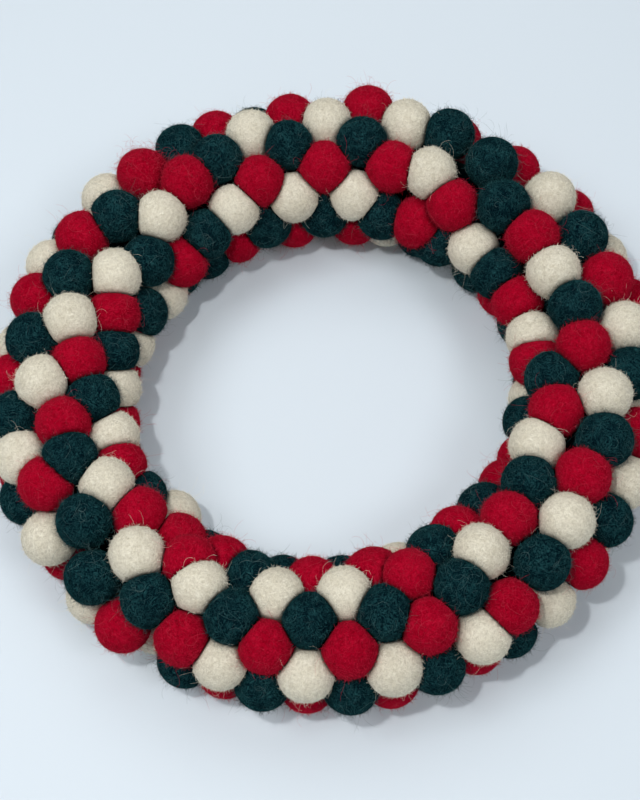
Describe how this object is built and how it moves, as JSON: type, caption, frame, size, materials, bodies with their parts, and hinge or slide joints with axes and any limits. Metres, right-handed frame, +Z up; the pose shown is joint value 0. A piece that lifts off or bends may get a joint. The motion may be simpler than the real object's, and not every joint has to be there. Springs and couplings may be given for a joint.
{
  "type": "felt ball wreath",
  "caption": "Round wreath of wool felt balls in red, green and cream, packed in turns round the ring; it hangs or lies flat as a seasonal decoration.",
  "frame": {"origin": "middle of the ring, on the plane that the wreath lies on", "axes": "+Z up through the ring, towards the side that shows; +Y towards the side that is uppermost when it hangs; +X to the right"},
  "size_m": [0.304, 0.3018, 0.0728],
  "materials": {
    "felt_red": "matt felted wool with stray fibres",
    "felt_green": "matt felted wool with stray fibres",
    "felt_cream": "matt felted wool with stray fibres"
  },
  "bodies": {
    "root": {"turn_01": "felt_green", "turn_02": "felt_cream", "turn_03": "felt_red", "turn_04": "felt_green", "turn_05": "felt_cream", "turn_06": "felt_green", "turn_07": "felt_cream", "turn_08": "felt_green", "turn_09": "felt_red", "turn_10": "felt_cream", "turn_11": "felt_green", "turn_12": "felt_cream", "turn_13": "felt_green", "turn_14": "felt_cream", "turn_15": "felt_red", "turn_16": "felt_cream", "turn_17": "felt_red", "turn_18": "felt_green", "turn_19": "felt_cream", "turn_20": "felt_green", "turn_21": "felt_cream", "turn_22": "felt_red", "turn_23": "felt_cream", "turn_24": "felt_green", "turn_25": "felt_cream", "turn_26": "felt_green", "turn_27": "felt_cream", "turn_28": "felt_green", "turn_29": "felt_red", "turn_30": "felt_green", "turn_31": "felt_cream", "turn_32": "felt_red", "turn_33": "felt_cream", "turn_34": "felt_red", "turn_35": "felt_green", "turn_36": "felt_cream", "turn_37": "felt_red", "turn_38": "felt_green", "turn_39": "felt_cream", "turn_40": "felt_red", "turn_41": "felt_green"}
  },
  "joints": []
}
